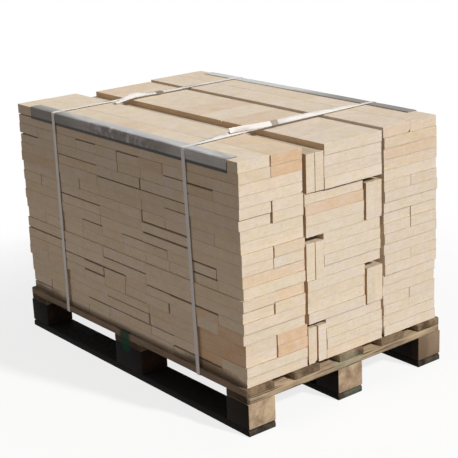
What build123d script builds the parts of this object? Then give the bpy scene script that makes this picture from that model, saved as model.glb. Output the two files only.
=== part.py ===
from build123d import *
import math
import os
import random

# Pallet, in millimetres
pallet_length = 1200.0
pallet_width = 800.0
board_width = 100.0
deck_thickness = 22.0
stringer_thickness = 22.0
bottom_board_thickness = 22.0
block_height = 78.0
end_block_length = 100.0
middle_block_length = 145.0
deck_board_count = 5
deck_board_shift = (0.0, 3.0, 8.0, 9.0, 0.0)
corner_cut = 7.0

# Fireclay tiles, in millimetres
tile_length = 230.0
bond_joint = 2.0
tile_thickness = 32.7
bed_joint = 0.3
row_joint = 4.0
upright_joint = 0.5
layers_per_pair = 2
group_count = 5
stack_shift_x = 2.0
stack_shift_y = -2.5
least_gap = 0.5
upright_slack = 11.5

# How unevenly the tiles were laid by hand
row_unevenness = 3.0
tile_unevenness = 1.2
middle_unevenness = 0.8
end_unevenness = 3.0
side_unevenness = 3.0
top_group_overhang = 7.0
left_pair_shift = (3.0, 4.0, -4.0, -2.5, 1.5, -1.0, -1.0, -2.5, -3.0, 0.0)

# How much taller each pair of layers in the left column, and each group in the middle, came out
left_pair_growth = (-5.0, 4.0, 0.0, 2.0, 1.5, 0.0, 0.5, -0.5, 0.0, -2.5)
group_growth = (-5.0, 0.0, 1.0, -1.0, 0.0)

# Open joint between the two rows of each turned pair, from the bottom up
left_row_gap = (4.0, 3.5, 2.5, 4.0, 0.7)
right_row_gap = (1.0, 0.8, 2.5, 2.0, 1.0)

# Side of each group's upright pair, and the gaps before the group, within and beside the pair
group_plan = (
    ("left", 2.0, 4.5, 0.6),
    ("right", 3.0, 0.2, 7.0),
    ("left", 1.5, 0.3, 0.6),
    ("right", 0.0, 0.2, 10.5),
    ("left", 4.0, 0.2, 0.6),
)

# Edge protectors, in millimetres
protector_leg = 40.0
protector_thickness = 3.0
protector_radius = 4.5
protector_gap = 0.3
left_protector_length = 1035.0
left_protector_centre = 22.0
right_protector_length = 1016.0
right_protector_centre = -8.0

# Straps and their metal seals, in millimetres
strap_width = 16.0
strap_thickness = 0.9
strap_gap = 0.4
strap_deck_bend = 0.6
rear_strap_top = -351.0
rear_strap_bottom = -349.0
rear_strap_skew = 0.0
front_strap_top = 346.0
front_strap_bottom = 371.0
front_strap_skew = -30.0
seal_length = 27.0
seal_wall = 0.8
seal_gap = 0.2
seal_notch = 2.6
rear_seal_place = 25.0
front_seal_place = -44.0
rear_seal_turn = 5.0
front_seal_turn = 60.0

# How a strap's turn at its seal dies out: share of the way to the protector, share of the turn
turn_fade = (
    (0.0, 1.0),
    (0.15, 0.97),
    (0.3, 0.9),
    (0.45, 0.76),
    (0.6, 0.55),
    (0.75, 0.32),
    (0.88, 0.13),
    (1.0, 0.0),
)

# Free ends past the seals: distance along, lift, sideways shift, twist and climb in degrees
rear_tail_curl = (
    (15.0, 0.6, 0.3, 2.0, 2.0),
    (38.0, 2.1, 1.5, 8.0, 3.0),
    (58.0, 4.3, 4.0, 28.0, 3.0),
    (76.0, 7.0, 7.5, 48.0, 2.0),
    (94.0, 8.6, 12.5, 57.0, 0.0),
    (112.0, 9.0, 18.0, 56.0, -1.0),
    (132.0, 8.2, 24.0, 46.0, -3.0),
    (152.0, 6.4, 29.5, 30.0, -4.0),
    (172.0, 4.6, 34.5, 17.0, -5.0),
    (192.0, 3.2, 38.0, 8.0, -4.0),
)
front_tail_curl = (
    (20.0, 0.8, -0.5, 0.0, 2.0),
    (50.0, 2.2, -1.5, 2.0, 2.0),
    (80.0, 3.4, -2.8, 4.0, 2.0),
    (110.0, 4.2, -4.0, 5.0, 1.0),
    (140.0, 4.6, -5.0, 4.0, 0.0),
    (165.0, 4.4, -5.8, 2.0, -1.0),
)

# Values worked out from those above
stringer_top = bottom_board_thickness + block_height + stringer_thickness
pallet_height = stringer_top + deck_thickness
tile_width = (tile_length - bond_joint) / 2.0
bed_pitch = tile_thickness + bed_joint
layers_per_group = math.ceil((tile_width + least_gap) / bed_pitch)
layer_count = layers_per_group * group_count
stack_top = pallet_height + layer_count * bed_pitch
row_length = 5.0 * tile_length + 4.0 * row_joint
column_width = 2.0 * tile_width + row_joint
upright_pair_width = 2.0 * tile_thickness + upright_joint
turned_margin = (column_width - tile_length) / 2.0
column_joint = tile_unevenness + middle_unevenness + least_gap
left_joint = column_joint + max(left_pair_shift)
middle_column_width = upright_pair_width + upright_slack + tile_length
stack_width = 2.0 * column_width + left_joint + middle_column_width + column_joint + side_unevenness
left_column_start = stack_shift_y - stack_width / 2.0
middle_column_start = left_column_start + column_width + left_joint
right_column_start = middle_column_start + middle_column_width + column_joint


def plain_box(x_min, y_min, z_min, x_size, y_size, z_size):
    """A sharp-edged block given by its lowest corner and its sizes."""
    block = Box(x_size, y_size, z_size, align=(Align.MIN, Align.MIN, Align.MIN))
    return Pos(x_min, y_min, z_min) * block


def uneven(*place):
    """The same offset between -1 and 1 each time for one place in the stack."""
    return random.Random(repr(place)).uniform(-1.0, 1.0)


def write_node(name, shapes):
    """One file for one kind of piece, holding its separate solids."""
    solids = [solid for shape in shapes for solid in shape.solids()]
    piece = solids[0] if len(solids) == 1 else Compound(children=solids)
    piece.label = name
    export_step(piece, f"parts/{name}.step")


def board_rows(count):
    """Lower edges of boards spread evenly over the pallet's width."""
    step = (pallet_width - board_width) / (count - 1)
    return [-pallet_width / 2 + number * step for number in range(count)]


def deck_rows():
    """Lower edges of the deck boards, as the inner ones were nailed by eye."""
    return [
        y_min + deck_board_shift[number % len(deck_board_shift)]
        for number, y_min in enumerate(board_rows(deck_board_count))
    ]


def deck_board(y_min):
    """A full-length top board, with the pallet's outer corners cut off."""
    board = plain_box(-pallet_length / 2, y_min, stringer_top, pallet_length, board_width, deck_thickness)
    outer = [
        edge
        for edge in board.edges().filter_by(Axis.Z)
        if abs(edge.center().Y) > pallet_width / 2 - corner_cut
    ]
    return chamfer(outer, corner_cut) if outer else board


def cross_rows():
    """Lower X and length of the three lines of blocks and cross boards."""
    return [
        ("rear", -pallet_length / 2, end_block_length),
        ("middle", -middle_block_length / 2, middle_block_length),
        ("front", pallet_length / 2 - end_block_length, end_block_length),
    ]


def stringer_board(x_min, length):
    """A cross board on one line of blocks, with its outer corners cut as the deck's."""
    z_min = bottom_board_thickness + block_height
    board = plain_box(x_min, -pallet_width / 2, z_min, length, pallet_width, stringer_thickness)
    outer = [
        edge
        for edge in board.edges().filter_by(Axis.Z)
        if abs(edge.center().X) > pallet_length / 2 - corner_cut
    ]
    return chamfer(outer, corner_cut) if outer else board


def bottom_board(y_min):
    """A skid under three blocks, with its upper end edges sloped for the forks."""
    board = plain_box(-pallet_length / 2, y_min, 0.0, pallet_length, board_width, bottom_board_thickness)
    ends = [
        edge
        for edge in board.edges().filter_by(Axis.Y)
        if edge.center().Z > bottom_board_thickness / 2
    ]
    return chamfer(ends, corner_cut)


def bed_level(layer, layers, growth):
    """Height of a layer's underside where every few layers grew or shrank a little together."""
    whole = layer // layers
    level = pallet_height + layer * bed_pitch + sum(growth[number % len(growth)] for number in range(whole))
    return level + (layer % layers) * growth[whole % len(growth)] / layers


def tile(x_min, y_min, along, level, next_level):
    """One flat tile that fills a layer, its long side along X or along Y."""
    x_size = tile_length if along == "x" else tile_width
    y_size = tile_width if along == "x" else tile_length
    return plain_box(x_min, y_min, level + bed_joint, x_size, y_size, next_level - level - bed_joint)


def row_starts(count, size, place):
    """Lower X of each tile in one row along the pallet; most joints are tight and a few stand open."""
    weights = [0.04 + abs(uneven("joint", place, number)) ** 3 for number in range(count - 1)]
    slack = row_length - count * size - (count - 1) * least_gap
    starts = [stack_shift_x - row_length / 2 + row_unevenness * uneven("row", place)]
    for weight in weights:
        starts.append(starts[-1] + size + least_gap + slack * weight / sum(weights))
    starts[0] -= end_unevenness * abs(uneven("first", place))
    starts[-1] += end_unevenness * abs(uneven("last", place))
    return starts


def side_column_tiles(column, layer):
    """The tiles of one layer in a side column, turned after each pair of layers."""
    pair = layer // layers_per_pair
    if column == "left":
        y_start = left_column_start + left_pair_shift[pair % len(left_pair_shift)]
        row_gap = left_row_gap[pair // 2 % len(left_row_gap)]
        growth = left_pair_growth
    else:
        y_start = right_column_start + side_unevenness * (1.0 + uneven(column, layer))
        row_gap = right_row_gap[pair // 2 % len(right_row_gap)]
        growth = (0.0,)
    levels = [bed_level(layer + up, layers_per_pair, growth) for up in (0, 1)]
    tiles = []
    if pair % 2 == 0:
        for number, x_min in enumerate(row_starts(10, tile_width, (column, layer))):
            y_min = y_start + turned_margin + tile_unevenness * uneven(column, layer, number)
            tiles.append(tile(x_min, y_min, "y", *levels))
    else:
        outer = y_start if column == "left" else y_start + column_width - tile_width
        inward = 1 if column == "left" else -1
        for side in range(2):
            for number, x_min in enumerate(row_starts(5, tile_length, (column, layer, side))):
                nudge = min(tile_unevenness, (row_gap - least_gap) / 2) * uneven(column, layer, side, number)
                y_min = outer + inward * side * (tile_width + row_gap) + nudge
                tiles.append(tile(x_min, y_min, "x", *levels))
    return tiles


def group_places(group):
    """Lower Y of the upright pair and of the flat tiles in one middle group."""
    side, before, within, beside = group_plan[group % len(group_plan)]
    first = middle_column_start + before
    if side == "left":
        return first, first + upright_pair_width + within + beside
    return first + tile_length + beside, first


def group_overhang(group):
    """How far a middle group stands out at the front end."""
    return top_group_overhang if group == group_count - 1 else 0.0


def middle_flat_tiles(layer):
    """Ten flat tiles across the middle column, beside the upright pair."""
    group = layer // layers_per_group
    y_start = group_places(group)[1]
    levels = [bed_level(layer + up, layers_per_group, group_growth) for up in (0, 1)]
    tiles = []
    for number, x_min in enumerate(row_starts(10, tile_width, ("middle", layer))):
        y_min = y_start + min(middle_unevenness, 0.1) * uneven("middle", layer, number)
        tiles.append(tile(x_min + group_overhang(group) / 2, y_min, "y", *levels))
    return tiles


def upright_tiles(group):
    """Two rows of tiles on their long edges, as tall as a tile is wide."""
    y_start = group_places(group)[0]
    within = group_plan[group % len(group_plan)][2]
    z_min = bed_level(group * layers_per_group, layers_per_group, group_growth) + bed_joint
    tiles = []
    for side in range(2):
        y_min = y_start + side * (tile_thickness + upright_joint + within)
        for x_min in row_starts(5, tile_length, ("upright", group, side)):
            x_place = x_min + group_overhang(group) / 2
            tiles.append(plain_box(x_place, y_min, z_min, tile_length, tile_thickness, tile_width))
    return tiles


def widest_edges(layers):
    """Outermost Y of the tiles on each side, over some of the layers."""
    left = []
    right = []
    for layer in layers:
        left += [piece.bounding_box().min.Y for piece in side_column_tiles("left", layer)]
        right += [piece.bounding_box().max.Y for piece in side_column_tiles("right", layer)]
    return min(left), max(right)


def protector_corners():
    """Y of the inner corner of each protector, just clear of the layers that it covers."""
    left, right = widest_edges(range(layer_count - layers_per_pair, layer_count))
    return left - protector_gap, right + protector_gap


def edge_protector(corner_y, outward, length, centre):
    """A stiff angle strip over a top edge; outward is -1 on the left and 1 on the right."""
    inner_z = stack_top + protector_gap
    outer_y = corner_y + outward * protector_thickness
    outer_z = inner_z + protector_thickness
    leg_y = outer_y - outward * protector_leg
    leg_z = outer_z - protector_leg
    outline = Polyline(
        (outer_y, leg_z),
        (outer_y, outer_z),
        (leg_y, outer_z),
        (leg_y, inner_z),
        (corner_y, inner_z),
        (corner_y, leg_z),
        close=True,
    )
    profile = make_face(outline)
    bend = [v for v in profile.vertices() if abs(v.X - outer_y) < 0.01 and abs(v.Y - outer_z) < 0.01]
    profile = fillet(bend, protector_radius)
    across = Plane(origin=(centre - length / 2, 0, 0), x_dir=(0, 1, 0), z_dir=(1, 0, 0))
    return extrude(across * profile, amount=length)


def strap_run_height():
    """Underside of a strap's run over the top, above the protectors."""
    return stack_top + protector_gap + protector_thickness + strap_gap


def strap_lean(x_top, x_bottom):
    """Angle in degrees by which a strap's plane leans along the pallet."""
    return math.degrees(math.atan2(x_bottom - x_top, strap_run_height() - stringer_top + strap_gap))


def strap_place(x_top, x_bottom):
    """Where a strap, made about its own top run, stands on the load."""
    return Pos(x_top, 0, strap_run_height()) * Rot(0, -strap_lean(x_top, x_bottom), 0)


def strap_slant(edges, skew):
    """How far a strap runs along the pallet for each millimetre across the load."""
    return skew / (edges[1] - edges[0])


def slant_shift(y_place, edges, skew, lean):
    """Where a slanting run lies at one place across the load, so that it is level once it leans."""
    along = strap_slant(edges, skew) * (y_place - edges[0])
    return Pos(along, 0, -along * math.tan(math.radians(lean)))


def slanted_place(y_place, edges, skew, lean):
    """Moves and turns a shape at one place across the load on to a strap's slanting run."""
    turn = -math.degrees(math.atan(strap_slant(edges, skew)))
    return slant_shift(y_place, edges, skew, lean) * Pos(0, y_place, 0) * Rot(0, 0, turn) * Pos(0, -y_place, 0)


def strap_ring(edges, lean, skew):
    """A closed flat band over the protectors and under the deck boards."""
    slant = strap_slant(edges, skew)
    stretch = math.sqrt(1.0 + slant * slant)
    drop = (strap_run_height() - stringer_top + strap_gap) / math.cos(math.radians(lean))
    left_top = edges[0] - protector_thickness - strap_gap
    right_top = edges[1] + protector_thickness + strap_gap
    left_tiles, right_tiles = widest_edges(range(layer_count))
    left_deck = min(-pallet_width / 2, left_tiles) - strap_gap
    right_deck = max(pallet_width / 2, right_tiles) + strap_gap
    rise = slant_shift(right_top, edges, skew, lean).position.Z
    corners = ((left_top, 0.0), (right_top, rise), (right_deck, rise - drop), (left_deck, -drop))
    inner = make_face(Polyline(*((stretch * across, up) for across, up in corners), close=True))
    top_bends = [corner for corner in inner.vertices() if corner.Y > -drop / 2]
    inner = fillet(top_bends, protector_radius)
    deck_bends = [corner for corner in inner.vertices() if corner.Y < -drop / 2]
    inner = fillet(deck_bends, strap_deck_bend)
    ring = offset(inner, amount=strap_thickness) - inner
    upright = Plane(origin=(-slant * edges[0], 0, 0), x_dir=(slant, 1, 0), z_dir=(1, -slant, 0))
    return Pos(-strap_width / 2, 0, 0) * extrude(upright * ring, amount=strap_width, dir=(1, 0, 0))


def turn_about_edge(turn):
    """Turns the strap's face towards the front end, about its lower edge, by an angle in degrees."""
    rise = strap_width / 2 * math.sin(math.radians(turn))
    middle = strap_thickness / 2
    return Pos(0, 0, rise + middle) * Rot(0, turn, 0) * Pos(0, 0, -middle)


def run_section(y_place, turn):
    """A cut across a strap's top run, flat or turned towards the front end."""
    flat = Plane(origin=(0, y_place, strap_thickness / 2), x_dir=(1, 0, 0), z_dir=(0, 1, 0))
    return turn_about_edge(turn) * (flat * Rectangle(strap_width, strap_thickness))


def turned_run(edges, run_start, run_end, skew, lean, seal_place, seal_turn):
    """The top run between the protectors, which is turned most at its seal."""
    seal_start = seal_place - seal_length / 2
    seal_end = seal_place + seal_length / 2
    stations = [(seal_start + share * (run_start - seal_start), part) for share, part in reversed(turn_fade)]
    stations += [(seal_end + share * (run_end - seal_end), part) for share, part in turn_fade]
    sections = []
    for y_place, part in stations:
        sections.append(slant_shift(y_place, edges, skew, lean) * run_section(y_place, part * seal_turn))
    return loft(sections, ruled=True)


def tail_section(y_place, lift, sideways, twist, climb):
    """A cut across the free end: its height, sideways shift, twist and climb in degrees."""
    rise = math.radians(climb)
    turn = math.radians(twist)
    travel = Vector(0, -math.cos(rise), math.sin(rise))
    upward = Vector(0, math.sin(rise), math.cos(rise))
    across = Vector(1, 0, 0) * math.cos(turn) - upward * math.sin(turn)
    plane = Plane(origin=(sideways, y_place, strap_thickness * 1.5 + lift), x_dir=across, z_dir=travel)
    return plane * Rectangle(strap_width, strap_thickness)


def strap_tail(seal_place, curl):
    """The lapped end under the seal, then the free end that curls and twists past it."""
    start = seal_place + seal_length / 2
    finish = seal_place - seal_length / 2
    lap = loft([tail_section(start, 0, 0, 0, 0), tail_section(finish, 0, 0, 0, 0)], ruled=True)
    stations = [(0.0, 0.0, 0.0, 0.0, 0.0)] + list(curl)
    free = loft([tail_section(finish - along, *pose) for along, *pose in stations], ruled=True)
    return lap + free


def strap(edges, x_top, x_bottom, skew, seal_place, seal_turn, curl):
    """One strap: the band round the load, with its lapped end and free tail."""
    run_start = edges[0] - protector_thickness + protector_leg
    run_end = edges[1] + protector_thickness - protector_leg
    run_length = run_end - run_start
    lean = strap_lean(x_top, x_bottom)
    reach = strap_width + abs(skew)
    flat_run = plain_box(-reach, run_start, -strap_width, 2 * reach, run_length, 2 * strap_width)
    band = strap_ring(edges, lean, skew) - flat_run
    band = band + turned_run(edges, run_start, run_end, skew, lean, seal_place, seal_turn)
    tail = turn_about_edge(seal_turn) * strap_tail(seal_place, curl)
    band = band + slanted_place(seal_place, edges, skew, lean) * tail
    return strap_place(x_top, x_bottom) * band


def seal(edges, x_top, x_bottom, skew, y_centre, turn):
    """A folded metal sleeve over the two lapped ends, notched at both sides where it was crimped."""
    hollow_width = strap_width + 2 * seal_gap
    hollow_height = 2 * strap_thickness + 2 * seal_gap
    outer = Box(hollow_width + 2 * seal_wall, seal_length, hollow_height + 2 * seal_wall)
    outer = fillet(outer.edges().filter_by(Axis.Y), seal_wall)
    sleeve = outer - Box(hollow_width, seal_length + 1.0, hollow_height)
    seam = Pos(0, 0, hollow_height / 2 + seal_wall) * Box(seal_wall, seal_length + 1.0, 2 * seal_wall)
    sleeve = sleeve - seam
    for side in (-1, 1):
        for place in (-seal_length / 4, seal_length / 4):
            notch = Cylinder(seal_notch, hollow_height + 4 * seal_wall)
            reach = side * (hollow_width / 2 + seal_notch + seal_gap / 2)
            sleeve = sleeve - Pos(reach, place, 0) * notch
    on_run = slanted_place(y_centre, edges, skew, strap_lean(x_top, x_bottom))
    on_strap = strap_place(x_top, x_bottom) * on_run * turn_about_edge(turn)
    return on_strap * Pos(0, y_centre, strap_thickness) * sleeve


def make_pallet():
    """The boards and blocks, each in its own file."""
    for number, y_min in enumerate(deck_rows(), 1):
        write_node(f"deck_board_{number}", [deck_board(y_min)])
    for name, x_min, length in cross_rows():
        write_node(f"stringer_board_{name}", [stringer_board(x_min, length)])
        for side, y_min in zip(("left", "centre", "right"), board_rows(3)):
            block = plain_box(x_min, y_min, bottom_board_thickness, length, board_width, block_height)
            write_node(f"block_{side}_{name}", [block])
    for side, y_min in zip(("left", "centre", "right"), board_rows(3)):
        write_node(f"bottom_board_{side}", [bottom_board(y_min)])


def make_tiles():
    """Every layer's flat tiles, and the upright pairs of the middle column."""
    for layer in range(layer_count):
        tiles = middle_flat_tiles(layer)
        tiles += side_column_tiles("left", layer)
        tiles += side_column_tiles("right", layer)
        write_node(f"tile_layer_{layer + 1:02d}", tiles)
    for group in range(group_count):
        write_node(f"upright_tiles_{group + 1}", upright_tiles(group))


def make_bindings():
    """The protectors, the straps over them, and the seals that hold the straps."""
    edges = protector_corners()
    left = edge_protector(edges[0], -1, left_protector_length, left_protector_centre)
    right = edge_protector(edges[1], 1, right_protector_length, right_protector_centre)
    write_node("edge_protector_left", [left])
    write_node("edge_protector_right", [right])
    rear = (edges, rear_strap_top, rear_strap_bottom, rear_strap_skew, rear_seal_place, rear_seal_turn)
    front = (edges, front_strap_top, front_strap_bottom, front_strap_skew, front_seal_place, front_seal_turn)
    write_node("strap_rear", [strap(*rear, rear_tail_curl)])
    write_node("strap_front", [strap(*front, front_tail_curl)])
    write_node("seal_rear", [seal(*rear)])
    write_node("seal_front", [seal(*front)])


os.makedirs("parts", exist_ok=True)
make_pallet()
make_tiles()
make_bindings()
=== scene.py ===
import math
import random

import bmesh
import bpy
from bpy.props import FloatProperty, FloatVectorProperty, PointerProperty
from mathutils import Matrix, Vector, noise


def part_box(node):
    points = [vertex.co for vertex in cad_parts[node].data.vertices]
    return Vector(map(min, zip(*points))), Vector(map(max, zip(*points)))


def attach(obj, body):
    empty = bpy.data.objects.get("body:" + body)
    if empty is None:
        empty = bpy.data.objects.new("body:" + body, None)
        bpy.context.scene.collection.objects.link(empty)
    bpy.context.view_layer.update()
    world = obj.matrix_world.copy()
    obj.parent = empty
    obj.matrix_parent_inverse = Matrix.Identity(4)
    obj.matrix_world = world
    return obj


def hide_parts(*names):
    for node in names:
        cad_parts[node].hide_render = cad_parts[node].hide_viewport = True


bl_info = {
    "name": "Pallet of fireclay tiles",
    "version": (1, 0, 0),
    "blender": (4, 5, 0),
    "location": "View3D > Sidebar > Tile pallet",
    "description": "Gives a strapped pallet load of fireclay tiles its finished pieces and materials",
    "category": "Object",
}

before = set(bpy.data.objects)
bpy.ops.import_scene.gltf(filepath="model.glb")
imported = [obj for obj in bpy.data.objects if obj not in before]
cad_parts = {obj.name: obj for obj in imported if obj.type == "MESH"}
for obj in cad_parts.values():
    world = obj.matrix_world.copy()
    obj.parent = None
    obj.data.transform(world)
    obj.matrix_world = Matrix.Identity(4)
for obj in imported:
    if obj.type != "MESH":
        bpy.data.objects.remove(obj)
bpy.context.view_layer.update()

# noise_vector starts from the clock unless its module is given a seed
noise.seed_set(7)

MM = 0.001
BODY = "root"
SIDES = ("left", "centre", "right")
ROWS = ("rear", "middle", "front")
STRAPS = ("rear", "front")

# Half the width of the floor, in metres
FLOOR_REACH = 30.0

# Share of grey weathering on most blocks, and on those that differ
WEATHERING = 0.15
BLOCK_WEATHERING = {("left", "front"): 0.0, ("centre", "front"): 0.05, ("right", "front"): 0.7}

# Millimetres: where nails stand under a block, along and across the pallet from the block's middle,
# how far they stray each way, how tall a head is and how wide its round edge
NAIL_PLACES = ((-34, -22), (0, 22), (34, -22))
NAIL_STRAY = (8, 6)
NAIL_HEIGHT = 1.6
NAIL_RIM = 0.3

# Sizes over which wood wears and warps, and the spacing of the cuts that let wood and protectors bend
WEAR_SIZE = 25 * MM
WARP_SIZE = 400 * MM
WOOD_CUTS = 45 * MM
PROTECTOR_CUTS = 20 * MM
# Size of a protector's waves along it and across it, and the width of the dent under a strap
WAVE_LENGTH = 140 * MM
WAVE_WIDTH = 60 * MM
DENT = 14 * MM

# How far in from the load's sides and top a tile is still an outer one
OUTER = 30 * MM
OUTER_TOP = 14 * MM
# A tile this far under the top of the load is covered by others
COVERED = 20 * MM
# Right of this place across the pallet the joints get no painted shade
NARROW_JOINTS = 120 * MM
# The widest gap in a row that a tile is lengthened to close
WIDEST_CLOSED = 12 * MM

# How much darker and pinker tiles get towards the right, and how far single ones differ from that
TONE_FALL, TONE_SPREAD = 0.018, 0.013
BLUSH_RISE, BLUSH_SPREAD = 0.02, 0.03

# What each face of a tile carries: brightness with painted shade on covered beds, flashing, dusty edge, break, painted
# shade and bounce light in a joint, pinkness
TILE_LAYERS = ("tone", "warmth", "worn", "chipped", "joint_shade", "blush")

# Sockets of a Mix node that blends colours
FIRST_COLOUR = 6
SECOND_COLOUR = 7
BLENDED_COLOUR = 2

# Faces that the kiln flashed, seen from each side: place across, place up, strength
FLASHED = {
    "end": (
        (-0.225, 0.79, 0.8), (-0.225, 0.755, 0.75), (-0.225, 0.722, 0.15), (0.21, 0.79, 0.35),
        (0.33, 0.79, 0.3), (0.21, 0.755, 0.25), (0.33, 0.755, 0.35), (0.21, 0.722, 0.3),
        (0.33, 0.722, 0.45), (0.33, 0.69, 0.25), (-0.04, 0.622, 0.55), (-0.34, 0.457, 0.3),
        (-0.225, 0.457, 0.4), (-0.225, 0.391, 0.45), (-0.34, 0.325, 0.2), (-0.34, 0.259, 0.2),
        (-0.225, 0.259, 0.8), (-0.225, 0.226, 0.95),
    ),
    "side": (
        (0.42, 0.34, 0.5), (0.5, 0.292, 0.8), (0.42, 0.259, 0.7), (0.5, 0.226, 0.7),
        (0.42, 0.193, 0.8), (0.42, 0.16, 0.6), (0.155, 0.722, 0.4), (0.4, 0.705, 0.35),
        (-0.44, 0.61, 0.4),
    ),
    "top": (
        (-0.06, 0.03, 0.3), (0.2, 0.03, 0.35), (-0.48, 0.03, 0.3), (0.53, -0.24, 0.3),
    ),
}

# Axis and direction that each of those sides faces, and the two axes that its places are on
VIEWS = {"end": (0, 1, (1, 2)), "side": (1, -1, (0, 2)), "top": (2, 1, (0, 1))}

# Ragged patches of paint, stain and splashed dirt: middle, reach each way, cover
MARKED_SIDE = ((-0.015, -0.4, 0.13), (0.032, 0.07, 0.055), 0.85)
WASHED_END = ((0.6, -0.01, 0.12), (0.03, 0.06, 0.026), 0.3)
WASHED_FOOT = ((0.6, 0.02, 0.02), (0.03, 0.05, 0.02), 0.2)
STAINED_END = ((0.6, 0.3, 0.05), (0.03, 0.05, 0.14), 0.45)
SPLASHED = ((0.41, -0.394, 0.145), (0.17, 0.015, 0.032), 0.6)
SPLASHED_REAR = ((-0.5, -0.394, 0.145), (0.14, 0.015, 0.03), 0.6)


def linear(hex_colour):
    """A scene-linear colour with full alpha, from an sRGB hex value."""
    channels = [int(hex_colour[place:place + 2], 16) / 255 for place in (0, 2, 4)]
    return [c / 12.92 if c <= 0.04045 else ((c + 0.055) / 1.055) ** 2.4 for c in channels] + [1.0]


def colour_property(name, hex_colour, description):
    """A colour that a user may change, given as it looks on screen."""
    return FloatVectorProperty(
        name=name, description=description, default=linear(hex_colour), size=4, subtype="COLOR", min=0.0, max=1.0
    )


def length_property(name, millimetres, description):
    """A size that a user may change, given in millimetres and kept in metres."""
    return FloatProperty(
        name=name, description=description, default=millimetres * MM, unit="LENGTH", precision=5, min=0.0
    )


def share_property(name, share, description):
    """A share from 0 to 1 that a user may change."""
    return FloatProperty(name=name, description=description, default=share, min=0.0, max=1.0, subtype="FACTOR")


class TileLook(bpy.types.PropertyGroup):
    """Sizes and colours of the fireclay tiles."""

    body: colour_property("Fired body", "E3D2B6", "Main colour of the fired clay")
    pale: colour_property("Pale clouds", "E6D6C6", "Paler, pinker clouds in the clay")
    flashed: colour_property("Flashed", "DDB48C", "Orange where the kiln flashed a tile")
    speck: colour_property("Specks", "A08767", "Iron specks and dirt in the pores")
    chipped: colour_property("Chipped", "EBDCC0", "Fresh clay where a corner broke off")
    edge_dust: colour_property("Edge dust", "C2A985", "Dust that lies along the eased edges")
    dirt: colour_property("Dirt", "4A3C30", "Dirt splashed on the foot of the load")
    # Painted shade and warm bounce light on the faces inside the joints
    joint_shade: colour_property("Sheltered", "D8BC98", "Browner faces and dust inside the joints")
    edge_ease: length_property("Eased edge", 0.32, "Width of the eased edge of a tile")
    bow: length_property("Bow", 0.2, "How far a face bows from flat")
    thin_by: length_property("Thinner by", 6.0, "How much thinner the thinnest tile of the long sides is")
    thin_share: share_property("Share of thin tiles", 0.27, "Share of the tiles of the long sides that are thinner")
    # Painted shade: how bright the upward faces and eased edges of covered tiles are, to their sides
    bed_painted_shade: share_property("Shade of the beds", 0.72, "How bright the top of a covered tile is, to its sides")
    joint: length_property("Joint", 0.6, "Width of a joint between two tiles that meet")
    closed_share: share_property("Closed joints", 0.75, "Share of the tiles that meet the next one in their layer")
    chip: length_property("Chip", 6.0, "Depth of the largest chipped corner")
    chipped_share: share_property("Chipped share", 0.22, "Share of tiles with a chipped corner")


class WoodLook(bpy.types.PropertyGroup):
    """Sizes and colours of the pallet's wood."""

    deck: colour_property("Deck", "A2896C", "Weathered top boards")
    deck_dark: colour_property("Deck, dark", "554536", "Wet and dirty parts of the top boards")
    cross: colour_property("Cross boards", "CDB491", "Brown cross boards under the deck")
    cross_dark: colour_property("Cross boards, dark", "8A7661", "Stained parts of the cross boards")
    block: colour_property("Blocks", "DCC2A0", "Sawn blocks")
    block_dark: colour_property("Blocks, dark", "8A7058", "Stained parts of the blocks")
    # Painted shade: the blocks under the shaded left side are darker all over
    block_dirty: colour_property("Blocks, dirty", "54392A", "Dirty blocks under the left side")
    weathered: colour_property("Weathered wood", "5E544A", "Grey brown of the blocks that stood in the weather")
    skid: colour_property("Skids", "665B4C", "Bottom boards that lie on the ground")
    skid_dark: colour_property("Skids, dark", "2A2420", "Wet and dirty parts of the bottom boards")
    paint: colour_property("Paint", "164434", "Dark green marking paint")
    wash: colour_property("Paint wash", "8E9C84", "Pale green that was rubbed into the wood")
    # Painted light: the deck boards' long sides lighter than the wood
    painted_side_light: colour_property("Silvered wood", "A89482", "Sun-bleached wood on the long sides of the deck")
    # Grime in the drying checks, and painted shade on the cross boards' ends at the long sides
    grime_and_shading: colour_property("Grime", "1A130E", "Dirt on the long sides")
    # Painted shade: nearly black on the faces of blocks and skids towards the long sides and on the skids' tops
    deep_shade: colour_property("Soot", "0C0B0B", "Soot and oil that cover the skids")
    nail: colour_property("Nail", "4A3A30", "Rusty nail heads")
    nail_bloom: colour_property("Nail, blooms", "7A4A2C", "Orange rust on the nail heads")
    nail_head: length_property("Nail head", 9.0, "Width of a nail head")
    hollow: length_property("Hollow", 0.5, "How far the worn underside of a skid is hollowed round its nails")
    edge_wear: length_property("Worn edge", 2.2, "Width of the worn edge of a board")
    wear: length_property("Wear", 0.35, "How far wear moves the surface of a board")
    warp: length_property("Warp", 1.0, "How far a board strays from straight")
    ring_spacing: length_property("Ring spacing", 4.5, "Width of a growth ring, drawn coarse enough to show")


class BindingLook(bpy.types.PropertyGroup):
    """Sizes and colours of the protectors, straps and seals."""

    board: colour_property("Greyboard", "B3B1AC", "Face of the grey corner board")
    board_dark: colour_property("Greyboard, dark", "84807A", "Damp and dirty parts of the board")
    board_core: colour_property("Board core", "8C8378", "Cut edge of the board")
    # Brown stains, and painted shade at the left end of the left strip
    board_stain: colour_property("Board stain", "5C5144", "Brown stains in the board")
    # Painted shadow along the lower edge of the upright legs
    board_soaked: colour_property("Board, soaked", "110E0C", "Soaked lower edge of the board")
    # Pale rubs, and painted light at the right end of the left strip
    board_rubbed: colour_property("Board, rubbed", "DADAD8", "Places that were rubbed pale")
    scuff: colour_property("Scuff", "CFC8D4", "Scuffs and smudges")
    strap: colour_property("Strap", "DDD8D3", "White plastic band")
    strap_dirty: colour_property("Strap, dirty", "C9C0B4", "Grime on the band")
    seal: colour_property("Seal", "80766A", "Dull zinc of the seals")
    board_waviness: length_property("Waviness", 0.7, "How far a protector strays from straight")
    strap_press: length_property("Strap press", 0.35, "How deep a strap presses into a protector")


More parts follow.
